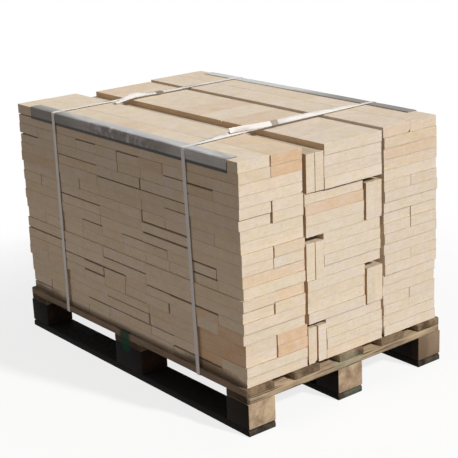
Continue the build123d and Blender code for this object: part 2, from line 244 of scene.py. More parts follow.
class StageLook(bpy.types.PropertyGroup):
    """Light, floor and camera."""

    floor: colour_property("Floor", "F4F3F1", "Pale floor as the camera sees it")
    ground: colour_property("Ground", "66605A", "Darker ground that throws light back at the load")
    sky: colour_property("Sky", "E4EBF6", "Even light from above")
    fill: colour_property("Fill", "FFE8D4", "Warm light that the surroundings throw on the shaded side")
    key_strength: FloatProperty(name="Key", description="Strength of the key light", default=3.38, min=0.0)
    fill_strength: FloatProperty(name="Fill", description="Strength of the fill light", default=0.4, min=0.0)
    sky_strength: FloatProperty(name="Sky", description="Strength of the even light", default=0.19, min=0.0)
    wash: share_property("Wash", 0.8, "Share of plain white in the floor near the load")
    key_softness: FloatProperty(
        name="Key softness", description="Angle of the key light", default=math.radians(4.0), subtype="ANGLE"
    )
    distance: length_property("Camera distance", 4068.5, "From the camera to the middle of the load")
    focal: FloatProperty(name="Focal length", description="Lens in millimetres", default=96.87, min=1.0)


def add_node(tree, kind, inputs=(), **settings):
    """Adds a shader node; inputs gives each socket a plain value or another node's output."""
    node = tree.nodes.new("ShaderNode" + kind)
    for name, value in settings.items():
        setattr(node, name, value)
    for socket, value in dict(inputs).items():
        if isinstance(value, bpy.types.NodeSocket):
            tree.links.new(value, node.inputs[socket])
        else:
            node.inputs[socket].default_value = value
    return node


def start_material(name):
    """A new material, its node tree and its shader."""
    material = bpy.data.materials.new(name)
    material.use_nodes = True
    return material, material.node_tree, material.node_tree.nodes["Principled BSDF"]


def noise_of_sizes(tree, place, sizes, detail, roughness=0.5):
    """Noise whose lumps have these sizes in millimetres along x, y and z."""
    scale = [1 / (size * MM) for size in sizes]
    drawn = add_node(tree, "Mapping", {"Vector": place, "Scale": scale}).outputs["Vector"]
    grain = {"Vector": drawn, "Scale": 1.0, "Detail": detail, "Roughness": roughness}
    return add_node(tree, "TexNoise", grain).outputs["Fac"]


def looks_along(tree, axis):
    """1 where a face looks along an axis, either way, and 0 where it lies along it."""
    normal = add_node(tree, "NewGeometry").outputs["Normal"]
    facing = add_node(tree, "SeparateXYZ", {"Vector": normal}).outputs[axis]
    return add_node(tree, "Math", {0: facing}, operation="ABSOLUTE").outputs["Value"]


def layer_colours(tree, colour, layers):
    """A colour with others laid over it one by one, each by its share."""
    for share, cover in layers:
        sockets = {"Factor": share, FIRST_COLOUR: colour, SECOND_COLOUR: cover}
        colour = add_node(tree, "Mix", sockets, data_type="RGBA").outputs[BLENDED_COLOUR]
    return colour


def patch_share(tree, ragged, centre, reach, cover):
    """The share of a ragged patch: its cover inside an ellipsoid about a place, nothing outside."""
    here = add_node(tree, "TexCoord").outputs["Object"]
    apart = add_node(tree, "VectorMath", {0: here, 1: centre}, operation="SUBTRACT")
    scaled = add_node(tree, "VectorMath", {0: apart.outputs["Vector"], 1: reach}, operation="DIVIDE")
    far = add_node(tree, "VectorMath", {0: scaled.outputs["Vector"]}, operation="LENGTH")
    # The cover fades from about 0.65 to 1.1 of the reach, and the noise moves that in and out by 0.2
    edge = add_node(tree, "Math", {0: ragged, 1: 1.3, 2: far.outputs["Value"]}, operation="MULTIPLY_ADD")
    share = add_node(
        tree, "MapRange",
        {"Value": edge.outputs["Value"], "From Min": 1.3, "From Max": 1.75, "To Min": cover, "To Max": 0.0},
    )
    return share.outputs["Result"]


def finish_piece(name, shape, material, nodes):
    """Makes a shape a piece that rides on the load and stands for its CAD nodes."""
    bmesh.ops.recalc_face_normals(shape, faces=shape.faces)
    mesh = bpy.data.meshes.new(name)
    shape.to_mesh(mesh)
    shape.free()
    mesh.materials.append(material)
    piece = bpy.data.objects.new(name, mesh)
    bpy.context.scene.collection.objects.link(piece)
    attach(piece, BODY)
    if nodes:
        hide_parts(*nodes)
    return piece


def smooth_by_angle(piece, degrees):
    """Shades a piece smooth, apart from its sharp edges."""
    piece.data.shade_smooth()
    piece.data.set_sharp_from_angle(angle=math.radians(degrees))


def random_place(draw, reach):
    """A random place in a pattern, so that no two pieces look alike."""
    return Vector(draw.uniform(-reach, reach) for axis in range(3))


def once(parts):
    """The parts in the order they come in, each of them once."""
    return list(dict.fromkeys(parts))


def copy_of_node(node):
    """A merged copy of a CAD node's mesh, with its flat faces whole again."""
    shape = bmesh.new()
    shape.from_mesh(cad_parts[node].data)
    bmesh.ops.remove_doubles(shape, verts=shape.verts, dist=0.01 * MM)
    bmesh.ops.dissolve_limit(shape, angle_limit=math.radians(0.5), verts=shape.verts, edges=shape.edges)
    return shape


def box_round(places):
    """The lowest and highest corner of a box round some places."""
    return tuple(Vector(pick(place[axis] for place in places) for axis in range(3)) for pick in (min, max))


def kept_inside(place, low, high):
    """The nearest place inside a box."""
    return Vector(min(max(place[axis], low[axis]), high[axis]) for axis in range(3))


def boxes_of_node(node):
    """The lowest and highest corner of each separate block in a CAD node."""
    shape = copy_of_node(node)
    unseen = set(shape.verts)
    boxes = []
    while unseen:
        island = [unseen.pop()]
        for vert in island:
            linked = {edge.other_vert(vert) for edge in vert.link_edges} & unseen
            unseen -= linked
            island.extend(linked)
        boxes.append(box_round([vert.co for vert in island]))
    shape.free()
    return sorted(boxes, key=lambda box: tuple(round(value, 4) for value in box[0]))


def cut_across(shape, axis, spacing):
    """Cuts a shape across one axis at even places, so that it can bend there."""
    places = [vert.co[axis] for vert in shape.verts]
    low, high = min(places), max(places)
    count = max(2, round((high - low) / spacing))
    normal = Vector((0.0, 0.0, 0.0))
    normal[axis] = 1.0
    for number in range(1, count):
        point = normal * (low + (high - low) * number / count)
        everything = shape.verts[:] + shape.edges[:] + shape.faces[:]
        bmesh.ops.bisect_plane(shape, geom=everything, dist=0.001 * MM, plane_co=point, plane_no=normal)


def sharp_edges(shape, degrees):
    """The edges of a shape where its faces meet at more than an angle."""
    return [edge for edge in shape.edges if edge.is_manifold and edge.calc_face_angle() > math.radians(degrees)]


def ease_edges(shape, edges, width, segments):
    """Rounds some edges of a shape and returns what the rounding made."""
    return bmesh.ops.bevel(
        shape, geom=edges, offset=width, offset_type="OFFSET", segments=segments,
        profile=0.5, affect="EDGES", clamp_overlap=True, material=-1,
    )


def box_of_load():
    """The lowest and highest corner of all the tiles."""
    nodes = [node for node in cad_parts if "_tiles_" in node or "tile_layer_" in node]
    return box_round([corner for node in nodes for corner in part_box(node)])


def flashing_of(normal, low, high):
    """How strongly the kiln flashed one face of the tile that fills a box."""
    strength = 0.0
    for view, (axis, direction, (across, up)) in VIEWS.items():
        if normal[axis] * direction > 0.5:
            for place, height, amount in FLASHED[view]:
                if low[across] <= place <= high[across] and low[up] <= height <= high[up]:
                    strength = max(strength, amount)
    return strength


def joint_shade_of(face, load):
    """How much painted shade and bounce light a tile's face gets: 0 outside and in narrow joints, most in the open
    joints along the load.
    """
    middle = face.calc_center_median()
    for axis, reach in enumerate((OUTER, OUTER, OUTER_TOP)):
        outwards = load[1][axis] - middle[axis] if face.normal[axis] > 0 else middle[axis] - load[0][axis]
        if abs(face.normal[axis]) > 0.6 and outwards < reach:
            return 0.0
    if abs(face.normal.y) < 0.6:
        return 0.2
    return 0.0 if middle.y > NARROW_JOINTS else 1.0


def close_joints(boxes, look, draw):
    """The boxes of a layer, most of them lengthened to meet the next tile along the pallet."""
    closed = []
    for low, high in boxes:
        gaps = [
            other.x - high.x for other, far in boxes
            if other.x > high.x
            and max(other.y, low.y) < min(far.y, high.y)
            and max(other.z, low.z) < min(far.z, high.z)
        ]
        gap = min(gaps, default=0.0)
        if look.joint < gap < WIDEST_CLOSED and draw.random() < look.closed_share:
            high = high + Vector((gap - look.joint, 0.0, 0.0))
        closed.append((low, high))
    return closed


def chip_corner(shape, tile, low, high, look, draw):
    """Breaks one corner off a tile and returns the faces of the break."""
    corner = Vector(draw.choice((low, high))[axis] for axis in range(3))
    inward = Vector(math.copysign(draw.uniform(0.5, 1.0), (low + high)[axis] / 2 - corner[axis]) for axis in range(3))
    inward.normalize()
    depth = look.chip * draw.uniform(0.25, 1.0)
    around = once(edge for vert in tile for edge in vert.link_edges)
    faces = once(face for vert in tile for face in vert.link_faces)
    cut = bmesh.ops.bisect_plane(
        shape, geom=tile + around + faces, dist=0.001 * MM,
        plane_co=corner + inward * depth, plane_no=-inward, clear_outer=True,
    )
    rim = [part for part in cut["geom_cut"] if isinstance(part, bmesh.types.BMEdge)]
    broken = bmesh.ops.edgeloop_fill(shape, edges=rim)["faces"]
    poked = bmesh.ops.poke(shape, faces=broken)
    for vert in poked["verts"]:
        vert.co += inward * depth * draw.uniform(0.05, 0.3)
    return poked["faces"]


def add_tile(shape, low, high, load, look, draw):
    """Adds one pressed tile: bowed faces, eased edges and a chip here and there."""
    tone, warmth, worn, chipped, joint_shade, blush = (shape.faces.layers.float[name] for name in TILE_LAYERS)
    clay_place = shape.verts.layers.float_vector["clay_place"]

    top = high.copy()
    covered = load[1].z - high.z > COVERED
    flat = high.z - low.z < min(high.x - low.x, high.y - low.y)
    outside = min(low.y - load[0].y, load[1].y - high.y) < OUTER and load[1].x - high.x > OUTER
    if covered and flat and outside and draw.random() < look.thin_share:
        top.z -= look.thin_by * draw.uniform(0.4, 1.0)
    size = top - low
    middle = (low + top) / 2
    place = Matrix.Translation(middle) @ Matrix.Diagonal((*size, 1.0))
    tile = bmesh.ops.create_cube(shape, size=1.0, matrix=place)["verts"]
    broken = chip_corner(shape, tile, low, top, look, draw) if draw.random() < look.chipped_share else []
    for face in broken:
        face[chipped] = 1.0

    verts = [vert for vert in tile if vert.is_valid] + [vert for face in broken for vert in face.verts]
    edges = once(edge for vert in verts for edge in vert.link_edges)
    square = [edge for edge in edges if edge.is_manifold and abs(edge.calc_face_angle() - math.pi / 2) < 0.05]
    eased = ease_edges(shape, square, look.edge_ease * draw.uniform(0.4, 1.8), 1)
    dusted = draw.uniform(0.2, 1.0)
    for face in eased["faces"]:
        face[worn] = dusted

    whole = once(face for vert in eased["verts"] for face in vert.link_faces)
    shade = draw.gauss(1.0 - TONE_FALL * middle.y / load[1].y, TONE_SPREAD)
    # Flashing beside what is listed: faint on the listed sides, strong on a few tiles of the others
    known_heat = 0.2 * draw.random() ** 3
    other_heat = 0.9 * draw.random() ** 5
    pink = draw.gauss(BLUSH_RISE * middle.y / load[1].y, BLUSH_SPREAD)
    shift = random_place(draw, 9)
    tip = random_place(draw, 1) * look.bow
    for face in whole:
        face.normal_update()
        # Painted shade on the upward faces and eased edges of covered tiles
        face[tone] = shade * (look.bed_painted_shade if covered and face.normal.z > 0.6 else 1.0)
        known = any(face.normal[axis] * direction > 0.5 for axis, direction, places in VIEWS.values())
        face[warmth] = max(flashing_of(face.normal, low, high), known_heat if known else other_heat)
        face[joint_shade] = joint_shade_of(face, load)
        face[blush] = pink
    for vert in once(vert for face in whole for vert in face.verts):
        part = vert.co - middle
        vert.co.x += tip.x * part.y / size.y
        vert.co.y += tip.y * part.x / size.x
        vert.co.z += min(0.0, tip.z * (part.x / size.x + part.y / size.y)) * (part.z > 0)
        vert[clay_place] = vert.co + shift


def lay_tiles(name, start, look):
    """One piece of hand-laid tiles for each CAD node whose name has that start."""
    material = bpy.data.materials.get("Pressed fireclay") or pressed_fireclay(look)
    load = box_of_load()
    for node in sorted(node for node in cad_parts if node.startswith(start)):
        draw = random.Random(node)
        shape = bmesh.new()
        for layer in TILE_LAYERS:
            shape.faces.layers.float.new(layer)
        shape.verts.layers.float_vector.new("clay_place")
        for low, high in close_joints(boxes_of_node(node), look, draw):
            add_tile(shape, low, high, load, look, draw)
        finish_piece(f"{name}_{node.rsplit('_', 1)[1]}", shape, material, [node])


def pressed_fireclay(look):
    """Pressed and fired chamotte: chalky and matt, clouded, with grog specks and small pores."""
    material, tree, shader = start_material("Pressed fireclay")
    place = add_node(tree, "Attribute", attribute_name="clay_place").outputs["Vector"]
    given = {name: add_node(tree, "Attribute", attribute_name=name).outputs["Fac"] for name in TILE_LAYERS}
    here = add_node(tree, "TexCoord").outputs["Object"]
    height = add_node(tree, "SeparateXYZ", {"Vector": here}).outputs["Z"]
    sideways = looks_along(tree, "Y")

    # Clouds about 60 mm across, paler and pinker than the body, more of them in some tiles
    clouds = add_node(
        tree, "TexNoise", {"Vector": place, "Scale": 1 / (60 * MM), "Detail": 5.0, "Roughness": 0.65}
    ).outputs["Fac"]
    blushed = add_node(tree, "Math", {0: clouds, 1: given["blush"]}, operation="ADD")
    cloud_share = add_node(tree, "MapRange", {"Value": blushed.outputs["Value"], "From Min": 0.38, "From Max": 0.68})
    # Flashing comes in soft patches about 70 mm across
    patches = add_node(tree, "TexNoise", {"Vector": place, "Scale": 1 / (70 * MM), "Detail": 3.0, "Distortion": 0.5})
    patchy = add_node(
        tree, "MapRange",
        {"Value": patches.outputs["Fac"], "From Min": 0.3, "From Max": 0.7, "To Min": 0.5, "To Max": 1.15},
    )
    heat = add_node(
        tree, "Math", {0: patchy.outputs["Result"], 1: given["warmth"]}, operation="MULTIPLY", use_clamp=True
    )
    # Grog and iron specks about 3 mm across and 16 mm apart, drawn coarser than the real 1 mm to show
    specks = add_node(tree, "TexVoronoi", {"Vector": place, "Scale": 1 / (16 * MM), "Randomness": 1.0})
    speck_share = add_node(
        tree, "MapRange",
        {"Value": specks.outputs["Distance"], "From Min": 0.04, "From Max": 0.1, "To Min": 0.6, "To Max": 0.0},
    )
    # Dust on the eased edges, painted shade and bounce light inside the joints, fresh clay in the chips
    dust = add_node(tree, "Math", {0: given["worn"], 1: 0.5}, operation="MULTIPLY")
    inside = add_node(tree, "Math", {0: given["joint_shade"], 1: 0.95}, operation="MULTIPLY")
    # The foot of the long sides darker, 20 mm high, and dirt splashed higher near the ends of the left one
    foot = add_node(
        tree, "MapRange",
        {"Value": height, "From Min": 147 * MM, "From Max": 167 * MM, "To Min": 0.75, "To Max": 0.0},
        interpolation_type="SMOOTHSTEP",
    )
    darker_foot = add_node(tree, "Math", {0: foot.outputs["Result"], 1: sideways}, operation="MULTIPLY")
    colour = layer_colours(tree, look.body, (
        (cloud_share.outputs["Result"], look.pale),
        (heat.outputs["Value"], look.flashed),
        (speck_share.outputs["Result"], look.speck),
        (dust.outputs["Value"], look.edge_dust),
        (inside.outputs["Value"], look.joint_shade),
        (given["chipped"], look.chipped),
        (darker_foot.outputs["Value"], look.dirt),
        (patch_share(tree, clouds, *SPLASHED), look.dirt),
        (patch_share(tree, clouds, *SPLASHED_REAR), look.dirt),
    ))

    # Faint drag marks of the press, 45 mm long and 4 mm wide, and mottling 14 mm across
    drags = noise_of_sizes(tree, place, (45, 45, 4), 2.0)
    mottles = add_node(tree, "TexNoise", {"Vector": place, "Scale": 1 / (14 * MM), "Detail": 3.0, "Roughness": 0.7})
    marks = add_node(tree, "Math", {0: drags, 1: mottles.outputs["Fac"]}, operation="ADD")
    marked = add_node(
        tree, "MapRange",
        {"Value": marks.outputs["Value"], "From Min": 0.7, "From Max": 1.3, "To Min": 0.93, "To Max": 1.07},
    )
    # Painted light on the long sides: 13 per cent lighter below 0.42 m, where light thrown back from the ground falls,
    # and 6 per cent darker above 0.7 m
    bleached = add_node(
        tree, "MapRange",
        {"Value": height, "From Min": 0.42, "From Max": 0.7, "To Min": 0.13, "To Max": -0.06},
        interpolation_type="SMOOTHSTEP",
    )
    weather = add_node(tree, "Math", {0: bleached.outputs["Result"], 1: sideways, 2: 1.0}, operation="MULTIPLY_ADD")
    value = given["tone"]
    for change in (marked.outputs["Result"], weather.outputs["Value"]):
        value = add_node(tree, "Math", {0: value, 1: change}, operation="MULTIPLY").outputs["Value"]
    toned = add_node(tree, "HueSaturation", {"Color": colour, "Value": value})
    tree.links.new(toned.outputs["Color"], shader.inputs["Base Color"])
    shader.inputs["Roughness"].default_value = 0.93
    shader.inputs["Specular IOR Level"].default_value = 0.25

    # Sandy grain about 4 mm across under the pores
    grain = add_node(tree, "TexNoise", {"Vector": place, "Scale": 1 / (4 * MM), "Detail": 3.0, "Roughness": 0.7})
    relief = add_node(
        tree, "Math", {0: speck_share.outputs["Result"], 1: -1.6, 2: grain.outputs["Fac"]}, operation="MULTIPLY_ADD"
    )
    bump = add_node(tree, "Bump", {"Height": relief.outputs["Value"], "Strength": 0.55, "Distance": 0.5 * MM})
    tree.links.new(bump.outputs["Normal"], shader.inputs["Normal"])
    return material


class LayFlatTiles(bpy.types.Operator):
    """Lay the twenty layers of flat tiles"""

    bl_idname = "tile_pallet.lay_flat_tiles"
    bl_label = "Lay flat tiles"

    def execute(self, context):
        lay_tiles("flat_tiles", "tile_layer_", context.scene.tile_look)
        return {"FINISHED"}


class StandUprightTiles(bpy.types.Operator):
    """Stand the pairs of tiles on edge in the middle column"""

    bl_idname = "tile_pallet.stand_upright_tiles"
    bl_label = "Stand upright tiles"

    def execute(self, context):
        lay_tiles("standing_tiles", "upright_tiles_", context.scene.tile_look)
        return {"FINISHED"}


def sawn_wood(name, look, clean, dark, shading_colour, grime_and_shading, deep_shade=0.0, along="X", marks=()):
    """Rough-sawn softwood: growth rings about the pith, fibres, checks and weather stains.

    A last colour covers the faces towards the long sides by one share and what faces up by another: painted shade on
    the blocks, skids and cross boards, and painted light on the long sides of the deck.
    """
    material, tree, shader = start_material(name)
    place = add_node(tree, "Attribute", attribute_name="fibre_place").outputs["Vector"]

    # Rings about the pith, nearly straight along the wood; a wave texture repeats every 2 pi / 20 of its scale
    ring_scale = 2 * math.pi / 20 / look.ring_spacing
    bend = add_node(tree, "Mapping", {"Vector": place, "Scale": (0.06, 1.0, 1.0)})
    rings = add_node(
        tree, "TexWave",
        {"Vector": bend.outputs["Vector"], "Scale": ring_scale, "Distortion": 2.5, "Detail": 2.0, "Detail Scale": 0.6},
        wave_type="RINGS", rings_direction="X",
    )
    # Fibres 2 mm wide and 90 mm long, stains about 45 by 120 mm, and drying checks 5 mm apart and 150 mm long
    fibres = noise_of_sizes(tree, place, (90, 2, 2), 4.0)
    stains = noise_of_sizes(tree, place, (120, 45, 45), 4.0, 0.6)
    checks = noise_of_sizes(tree, place, (150, 5, 5), 1.0)
    # Few checks on the end grain; painted shade on the faces towards the long sides and on what faces up, painted
    # light on those of the deck
    normal = add_node(tree, "NewGeometry").outputs["Normal"]
    upwards = add_node(tree, "SeparateXYZ", {"Vector": normal}).outputs["Z"]
    ranges = (
        (stains, 0.38, 0.66, 0.0, 1.0),
        (fibres, 0.3, 0.8, 0.0, 0.45),
        (checks, 0.62, 0.7, 0.0, 0.8),
        (looks_along(tree, along), 0.6, 0.9, 1.0, 0.15),
        (looks_along(tree, "Y"), 0.5, 0.9, 0.0, grime_and_shading),
        (upwards, 0.5, 0.9, 0.0, deep_shade),
    )
    shares = []
    for value, start, end, least, most in ranges:
        sockets = {"Value": value, "From Min": start, "From Max": end, "To Min": least, "To Max": most}
        shares.append(add_node(tree, "MapRange", sockets).outputs["Result"])
    stain_share, fibre_share, check_share, side_grain, dirt_and_shading_share, deep_shade_share = shares
    split_share = add_node(tree, "Math", {0: check_share, 1: side_grain}, operation="MULTIPLY").outputs["Value"]
    ring_share = add_node(tree, "Math", {0: rings.outputs["Fac"], 1: 0.28}, operation="MULTIPLY").outputs["Value"]
    colour = layer_colours(tree, clean, (
        (add_node(tree, "Attribute", attribute_name="weathered").outputs["Fac"], look.weathered),
        (stain_share, dark),
        (fibre_share, dark),
        (ring_share, dark),
        (split_share, look.grime_and_shading),
        (dirt_and_shading_share, shading_colour),
        (deep_shade_share, shading_colour),
        *((patch_share(tree, stains, *patch), paint) for paint, patch in marks),
    ))

    tree.links.new(colour, shader.inputs["Base Color"])
    shader.inputs["Roughness"].default_value = 0.86
    shader.inputs["Specular IOR Level"].default_value = 0.12
    height = add_node(tree, "Math", {0: split_share, 1: -1.5, 2: fibres}, operation="MULTIPLY_ADD")
    bump = add_node(tree, "Bump", {"Height": height.outputs["Value"], "Strength": 0.7, "Distance": 0.9 * MM})
    tree.links.new(bump.outputs["Normal"], shader.inputs["Normal"])
    return material


def saw_piece(name, node, along, material, look, weathering=0.0, hollow=0.0):
    """Turns a CAD board or block into worn, slightly warped wood with its fibres along one axis."""
    draw = random.Random(node)
    shape = copy_of_node(node)
    cut_across(shape, along, WOOD_CUTS)
    ease_edges(shape, sharp_edges(shape, 30), look.edge_wear, 2)
    # The pith lies 20 to 90 mm outside the middle of the board
    shift = Vector((draw.uniform(-9, 9), draw.uniform(0.03, 0.09), draw.uniform(0.02, 0.06)))
    low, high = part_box(node)
    low.z += hollow
    middle = (low + high) / 2
    fibre_place = shape.verts.layers.float_vector.new("fibre_place")
    weathered = shape.verts.layers.float.new("weathered")
    sway = random_place(draw, 50)
    across = 1 - along
    for vert in shape.verts:
        inner = vert.co - middle
        vert[fibre_place] = Vector((inner[along], inner[across], inner.z)) + shift
        vert[weathered] = weathering
        worn = noise.noise_vector(vert.co / WEAR_SIZE + sway) * look.wear
        warped = noise.noise_vector(vert.co / WARP_SIZE + sway) * look.warp
        vert.co = kept_inside(vert.co + worn + warped, low, high)
    smooth_by_angle(finish_piece(name, shape, material, [node]), 35)


class SawDeckBoards(bpy.types.Operator):
    """Saw the five weathered deck boards"""

    bl_idname = "tile_pallet.saw_deck_boards"
    bl_label = "Saw deck boards"

    def execute(self, context):
        look = context.scene.wood_look
        # Painted light: the deck boards' long sides lighter
        common = (look, look.deck, look.deck_dark, look.painted_side_light, 0.6)
        plain = sawn_wood("Weathered spruce deck", *common)
        marked = sawn_wood("Weathered spruce deck, marked side", *common, marks=[(look.paint, MARKED_SIDE)])
        washed = sawn_wood("Weathered spruce deck, washed end", *common, marks=[(look.wash, WASHED_END)])
        for number, material in enumerate((marked, plain, washed, plain, plain), 1):
            saw_piece(f"deck_plank_{number}", f"deck_board_{number}", 0, material, look)
        return {"FINISHED"}


class SawCrossBoards(bpy.types.Operator):
    """Saw the three cross boards under the deck"""

    bl_idname = "tile_pallet.saw_cross_boards"
    bl_label = "Saw cross boards"

    def execute(self, context):
        look = context.scene.wood_look
        # Painted shade: the cross boards' ends at the long sides nearly black
        common = (look, look.cross, look.cross_dark, look.grime_and_shading, 0.85, 0.0, "Y")
        plain = sawn_wood("Sawn pine cross board", *common)
        marked = sawn_wood("Sawn pine cross board, marked end", *common, marks=[(look.paint, MARKED_SIDE)])
        washed = sawn_wood("Sawn pine cross board, washed side", *common, marks=[(look.wash, WASHED_END)])
        for row, material in zip(ROWS, (plain, marked, washed)):
            saw_piece(f"cross_plank_{row}", f"stringer_board_{row}", 1, material, look)
        return {"FINISHED"}


class SetBlocks(bpy.types.Operator):
    """Set the nine spacer blocks"""

    bl_idname = "tile_pallet.set_blocks"
    bl_label = "Set blocks"

    def execute(self, context):
        look = context.scene.wood_look
        # Painted shade: the blocks' faces towards the long sides nearly black, and the two under the left side darker
        # all over
        sawn = (look, look.block, look.block_dark, look.deep_shade, 0.98)
        dirty = (look, look.block_dirty, look.skid_dark, look.deep_shade, 0.98)
        plain = sawn_wood("Sawn pine block", *sawn)
        marked = sawn_wood("Dirty pine block, marked side", *dirty, marks=[(look.paint, MARKED_SIDE)])
        washed = sawn_wood("Sawn pine block, washed end", *sawn, marks=[(look.wash, WASHED_END)])
        stained = sawn_wood("Sawn pine block, stained end", *sawn, marks=[(look.deck_dark, STAINED_END)])
        special = {
            ("left", "rear"): sawn_wood("Dirty pine block", *dirty),
            ("left", "middle"): marked,
            ("centre", "front"): washed,
            ("right", "front"): stained,
        }
        for side in SIDES:
            for row in ROWS:
                material = special.get((side, row), plain)
                weathering = BLOCK_WEATHERING.get((side, row), WEATHERING)
                node = f"block_{side}_{row}"
                saw_piece(f"spacer_{side}_{row}", node, 0, material, look, weathering)
        return {"FINISHED"}


class SawSkids(bpy.types.Operator):
    """Saw the three bottom boards"""

    bl_idname = "tile_pallet.saw_skids"
    bl_label = "Saw skids"

    def execute(self, context):
        look = context.scene.wood_look
        # Painted shade: the skids' faces towards the long sides and their tops nearly black, less so on the right skid
        common = (look, look.skid, look.skid_dark, look.deep_shade)
        deep_shaded = sawn_wood("Shadowed spruce skid", *common, 0.96, 0.97)
        washed = sawn_wood("Shadowed spruce skid, washed end", *common, 0.96, 0.97, marks=[(look.wash, WASHED_FOOT)])
        dirty = sawn_wood("Shade-painted spruce skid", *common, 0.72, 0.7)
        for side, material in zip(SIDES, (deep_shaded, washed, dirty)):
            node = f"bottom_board_{side}"
            saw_piece(f"skid_{side}", node, 0, material, look, hollow=look.hollow)
        return {"FINISHED"}


def rusty_nail(look):
    """Bright wire nails gone rusty: dark brown and rough, with orange blooms."""
    material, tree, shader = start_material("Rusty wire nail")
    here = add_node(tree, "TexCoord").outputs["Object"]
    # Blooms about 3 mm across
    blooms = add_node(tree, "TexNoise", {"Vector": here, "Scale": 1 / (3 * MM), "Detail": 3.0})
    rusted = {"Factor": blooms.outputs["Fac"], FIRST_COLOUR: look.nail, SECOND_COLOUR: look.nail_bloom}
    colour = add_node(tree, "Mix", rusted, data_type="RGBA")
    tree.links.new(colour.outputs[BLENDED_COLOUR], shader.inputs["Base Color"])
    shader.inputs["Metallic"].default_value = 0.25
    shader.inputs["Roughness"].default_value = 0.75
    return material


class DriveNails(bpy.types.Operator):
    """Drive the nails through the skids into the blocks"""

    bl_idname = "tile_pallet.drive_nails"
    bl_label = "Drive nails"

    def execute(self, context):
        look = context.scene.wood_look
        draw = random.Random("nails")
        shape = bmesh.new()
        for side in SIDES:
            for row in ROWS:
                low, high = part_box(f"block_{side}_{row}")
                middle = (low + high) / 2
                for along, across in NAIL_PLACES:
                    stray = Vector((*(draw.uniform(-reach, reach) for reach in NAIL_STRAY), 0.0)) * MM
                    place = Vector((middle.x + along * MM, middle.y + across * MM, NAIL_HEIGHT / 2 * MM)) + stray
                    head = bmesh.ops.create_cone(
                        shape, cap_ends=True, segments=16, radius1=look.nail_head / 2, radius2=look.nail_head / 2,
                        depth=NAIL_HEIGHT * MM, matrix=Matrix.Translation(place),
                    )
                    around = once(edge for vert in head["verts"] for edge in vert.link_edges)
                    rim = [edge for edge in around if edge.calc_face_angle() > 1.0]
                    ease_edges(shape, rim, NAIL_RIM * MM, 2)
        smooth_by_angle(finish_piece("skid_nails", shape, rusty_nail(look), []), 40)
        return {"FINISHED"}


def laminated_greyboard(look, low):
    """Laminated grey paper angle: smooth and matt, rubbed and stained, with brown cut ends and a painted shadow along
    its lower edge.
    """
    material, tree, shader = start_material("Laminated greyboard")
    here = add_node(tree, "TexCoord").outputs["Object"]
    core = add_node(tree, "Attribute", attribute_name="core").outputs["Fac"]
    # Stains drawn out along the strip, about 80 mm by 14 mm
    stains = noise_of_sizes(tree, here, (80, 14, 14), 5.0, 0.6)
    stain_share = add_node(tree, "MapRange", {"Value": stains, "From Min": 0.4, "From Max": 0.75, "To Max": 0.7})
    # Painted shadow: the upright legs are nearly black up to 7 mm above their lower edge, fading out by 11 mm
    height = add_node(tree, "SeparateXYZ", {"Vector": here}).outputs["Z"]
    edge_shadow = add_node(
        tree, "MapRange",
        {"Value": height, "From Min": low + 7 * MM, "From Max": low + 11 * MM, "To Min": 0.97, "To Max": 0.0},
    )
    sideways = looks_along(tree, "Y")
    edge_shadow_share = add_node(tree, "Math", {0: edge_shadow.outputs["Result"], 1: sideways}, operation="MULTIPLY")
    # Pale smudges about 30 mm across, only along the middle third of the left strip
    rubs = add_node(tree, "TexNoise", {"Vector": here, "Scale": 1 / (30 * MM), "Detail": 5.0, "Roughness": 0.7})
    rub_share = add_node(
        tree, "MapRange", {"Value": rubs.outputs["Fac"], "From Min": 0.5, "From Max": 0.6, "To Max": 0.75}
    )
    scuffed = patch_share(tree, stains, (0.05, -0.4, 0.785), (0.24, 0.04, 0.05), 1.0)
    scuff = add_node(tree, "Math", {0: scuffed, 1: rub_share.outputs["Result"]}, operation="MULTIPLY")
    # Stains and rubs; on the left strip's side, the darker left end is painted shade and the paler right end painted
    # light
    patches = (
        ((0.06, -0.4, 0.785), (0.26, 0.04, 0.05), 0.6, look.board_stain),
        ((-0.48, -0.4, 0.785), (0.3, 0.04, 0.05), 0.6, look.board_stain),
        ((0.15, -0.365, 0.803), (0.5, 0.035, 0.03), 0.5, look.board_rubbed),
        ((-0.3, 0.38, 0.803), (0.42, 0.06, 0.03), 0.75, look.board_rubbed),
        ((0.4, 0.38, 0.803), (0.35, 0.06, 0.03), 0.5, look.board_stain),
        ((0.53, -0.4, 0.785), (0.3, 0.03, 0.03), 0.3, look.board_rubbed),
    )
    colour = layer_colours(tree, look.board, (
        (stain_share.outputs["Result"], look.board_dark),
        *((patch_share(tree, stains, *patch), patch_colour) for *patch, patch_colour in patches),
        (scuff.outputs["Value"], look.scuff),
        (core, look.board_core),
        (edge_shadow_share.outputs["Value"], look.board_soaked),
    ))
    tree.links.new(colour, shader.inputs["Base Color"])
    shader.inputs["Roughness"].default_value = 0.6
    shader.inputs["Specular IOR Level"].default_value = 0.35
    # Paper fibres about 3 mm long
    fibres = add_node(tree, "TexNoise", {"Vector": here, "Scale": 1 / (3 * MM), "Detail": 3.0})
    bump = add_node(tree, "Bump", {"Height": fibres.outputs["Fac"], "Strength": 0.3, "Distance": 0.2 * MM})
    tree.links.new(bump.outputs["Normal"], shader.inputs["Normal"])
    return material


